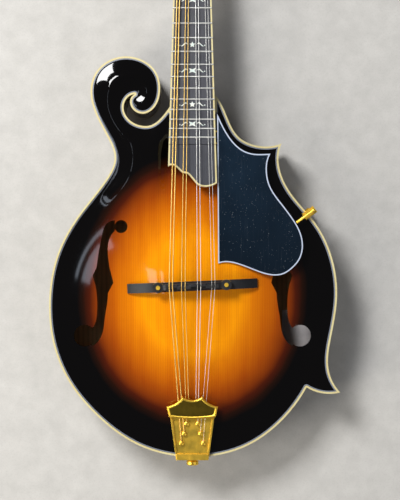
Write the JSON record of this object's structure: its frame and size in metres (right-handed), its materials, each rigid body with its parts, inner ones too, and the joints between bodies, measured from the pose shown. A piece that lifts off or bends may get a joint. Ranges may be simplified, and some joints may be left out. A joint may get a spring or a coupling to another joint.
{
  "type": "mandolin",
  "caption": "Carved arched-top mandolin with a scrolled body, f-shaped sound holes, adjustable bridge, pickguard and geared tuners.",
  "frame": {"origin": "centre of the strap button's round land, on the body's centre line at the tail", "axes": "+Y along the body and neck towards the headstock, +X to the treble side, +Z out of the face; the instrument lies on its back"},
  "size_m": [0.2476, 0.6566, 0.0849],
  "materials": {
    "spruce_top": "gloss sunburst lacquer over spruce",
    "maple_back": "gloss lacquer over figured maple",
    "maple_ribs": "gloss dark lacquer over figured maple",
    "maple_neck": "gloss dark lacquer",
    "inner_wood": "bare",
    "ivoroid": "polished cream",
    "label_paper": "matt",
    "steel": "turned",
    "black_plate": "polished",
    "ebony": "oiled",
    "fret_wire": "polished",
    "pearl": "polished pearl",
    "bone": "polished",
    "gold_hardware": "polished gold plate",
    "guard_plate": "polished with fine scratches",
    "guard_white": "polished",
    "bronze_winding": "wound",
    "string_steel": "drawn",
    "knob_pearl": "polished pearloid"
  },
  "bodies": {
    "instrument": {"soundboard": "spruce_top", "back_plate": "maple_back", "ribs": "maple_ribs", "top_binding": "ivoroid", "back_binding": "ivoroid", "neck_block": "inner_wood", "tail_block": "inner_wood", "point_blocks": "inner_wood", "linings": "inner_wood", "tone_bars": "inner_wood", "paper_label": "label_paper", "neck": "maple_neck", "truss_rod": "steel", "truss_rod_cover": "black_plate", "headstock_overlay": "black_plate", "fingerboard": "ebony", "neck_binding": "ivoroid", "frets": "fret_wire", "inlays": "pearl", "nut": "bone", "bridge_base": "ebony", "bridge_posts": "gold_hardware", "tailpiece": "gold_hardware", "hitch_studs": "gold_hardware", "strap_button": "gold_hardware", "screws_and_pins": "gold_hardware", "pickguard": "guard_plate", "pickguard_edge": "guard_white", "pickguard_bracket": "gold_hardware", "wound_strings": "bronze_winding", "plain_strings": "string_steel", "tuner_plates": "gold_hardware", "post_bushings": "gold_hardware"},
    "post_bass_1": {"string_post_bass_1": "gold_hardware"},
    "worm_shaft_bass_1": {"worm_bass_1": "gold_hardware", "knob_bass_1": "knob_pearl"},
    "post_bass_2": {"string_post_bass_2": "gold_hardware"},
    "worm_shaft_bass_2": {"worm_bass_2": "gold_hardware", "knob_bass_2": "knob_pearl"},
    "post_bass_3": {"string_post_bass_3": "gold_hardware"},
    "worm_shaft_bass_3": {"worm_bass_3": "gold_hardware", "knob_bass_3": "knob_pearl"},
    "post_bass_4": {"string_post_bass_4": "gold_hardware"},
    "worm_shaft_bass_4": {"worm_bass_4": "gold_hardware", "knob_bass_4": "knob_pearl"},
    "post_treble_1": {"string_post_treble_1": "gold_hardware"},
    "worm_shaft_treble_1": {"worm_treble_1": "gold_hardware", "knob_treble_1": "knob_pearl"},
    "post_treble_2": {"string_post_treble_2": "gold_hardware"},
    "worm_shaft_treble_2": {"worm_treble_2": "gold_hardware", "knob_treble_2": "knob_pearl"},
    "post_treble_3": {"string_post_treble_3": "gold_hardware"},
    "worm_shaft_treble_3": {"worm_treble_3": "gold_hardware", "knob_treble_3": "knob_pearl"},
    "post_treble_4": {"string_post_treble_4": "gold_hardware"},
    "worm_shaft_treble_4": {"worm_treble_4": "gold_hardware", "knob_treble_4": "knob_pearl"},
    "saddle": {"bridge_saddle": "ebony"},
    "wheel_bass": {"thumbwheel_bass": "gold_hardware"},
    "wheel_treble": {"thumbwheel_treble": "gold_hardware"}
  },
  "joints": [
    {"name": "saddle_lift", "type": "slide", "parent": "instrument", "child": "saddle", "axis": [0, 0, 1], "range_m": [0, 0.003], "deforming": ["wound_strings", "plain_strings"]},
    {"name": "turn_wheel_bass", "type": "hinge", "parent": "saddle", "child": "wheel_bass", "pos_m": [-0.02847, 0.15266, 0.0382], "axis": [0, 0, 1], "range_deg": [0, 1360.7]},
    {"name": "turn_wheel_treble", "type": "hinge", "parent": "saddle", "child": "wheel_treble", "pos_m": [0.02847, 0.15514, 0.0382], "axis": [0, 0, 1], "range_deg": [0, 1360.7]},
    {"name": "turn_knob_bass_1", "type": "hinge", "parent": "instrument", "child": "worm_shaft_bass_1", "pos_m": [-0.0225, 0.53558, -0.01094], "axis": [1, 0, 0], "continuous": true},
    {"name": "turn_post_bass_1", "type": "hinge", "parent": "instrument", "child": "post_bass_1", "pos_m": [-0.0225, 0.53295, 0.00635], "axis": [0, 0.2334, 0.9724], "continuous": true},
    {"name": "turn_knob_bass_2", "type": "hinge", "parent": "instrument", "child": "worm_shaft_bass_2", "pos_m": [-0.0225, 0.55795, -0.01631], "axis": [1, 0, 0], "continuous": true},
    {"name": "turn_post_bass_2", "type": "hinge", "parent": "instrument", "child": "post_bass_2", "pos_m": [-0.0225, 0.55531, 0.00098], "axis": [0, 0.2334, 0.9724], "continuous": true},
    {"name": "turn_knob_bass_3", "type": "hinge", "parent": "instrument", "child": "worm_shaft_bass_3", "pos_m": [-0.0225, 0.58031, -0.02168], "axis": [1, 0, 0], "continuous": true},
    {"name": "turn_post_bass_3", "type": "hinge", "parent": "instrument", "child": "post_bass_3", "pos_m": [-0.0225, 0.57767, -0.00439], "axis": [0, 0.2334, 0.9724], "continuous": true},
    {"name": "turn_knob_bass_4", "type": "hinge", "parent": "instrument", "child": "worm_shaft_bass_4", "pos_m": [-0.0225, 0.60268, -0.02705], "axis": [1, 0, 0], "continuous": true},
    {"name": "turn_post_bass_4", "type": "hinge", "parent": "instrument", "child": "post_bass_4", "pos_m": [-0.0225, 0.60004, -0.00976], "axis": [0, 0.2334, 0.9724], "continuous": true},
    {"name": "turn_knob_treble_1", "type": "hinge", "parent": "instrument", "child": "worm_shaft_treble_1", "pos_m": [0.0225, 0.53558, -0.01094], "axis": [1, 0, 0], "continuous": true},
    {"name": "turn_post_treble_1", "type": "hinge", "parent": "instrument", "child": "post_treble_1", "pos_m": [0.0225, 0.53295, 0.00635], "axis": [0, 0.2334, 0.9724], "continuous": true},
    {"name": "turn_knob_treble_2", "type": "hinge", "parent": "instrument", "child": "worm_shaft_treble_2", "pos_m": [0.0225, 0.55795, -0.01631], "axis": [1, 0, 0], "continuous": true},
    {"name": "turn_post_treble_2", "type": "hinge", "parent": "instrument", "child": "post_treble_2", "pos_m": [0.0225, 0.55531, 0.00098], "axis": [0, 0.2334, 0.9724], "continuous": true},
    {"name": "turn_knob_treble_3", "type": "hinge", "parent": "instrument", "child": "worm_shaft_treble_3", "pos_m": [0.0225, 0.58031, -0.02168], "axis": [1, 0, 0], "continuous": true},
    {"name": "turn_post_treble_3", "type": "hinge", "parent": "instrument", "child": "post_treble_3", "pos_m": [0.0225, 0.57767, -0.00439], "axis": [0, 0.2334, 0.9724], "continuous": true},
    {"name": "turn_knob_treble_4", "type": "hinge", "parent": "instrument", "child": "worm_shaft_treble_4", "pos_m": [0.0225, 0.60268, -0.02705], "axis": [1, 0, 0], "continuous": true},
    {"name": "turn_post_treble_4", "type": "hinge", "parent": "instrument", "child": "post_treble_4", "pos_m": [0.0225, 0.60004, -0.00976], "axis": [0, 0.2334, 0.9724], "continuous": true}
  ],
  "couplings": [
    {"joint": "turn_wheel_bass", "follows": "saddle_lift", "rad_per_m": 7915.8},
    {"joint": "turn_wheel_treble", "follows": "saddle_lift", "rad_per_m": 7915.8},
    {"joint": "turn_post_bass_1", "follows": "turn_knob_bass_1", "ratio": -0.066667},
    {"joint": "turn_post_bass_2", "follows": "turn_knob_bass_2", "ratio": -0.066667},
    {"joint": "turn_post_bass_3", "follows": "turn_knob_bass_3", "ratio": -0.066667},
    {"joint": "turn_post_bass_4", "follows": "turn_knob_bass_4", "ratio": -0.066667},
    {"joint": "turn_post_treble_1", "follows": "turn_knob_treble_1", "ratio": 0.066667},
    {"joint": "turn_post_treble_2", "follows": "turn_knob_treble_2", "ratio": 0.066667},
    {"joint": "turn_post_treble_3", "follows": "turn_knob_treble_3", "ratio": 0.066667},
    {"joint": "turn_post_treble_4", "follows": "turn_knob_treble_4", "ratio": 0.066667}
  ]
}
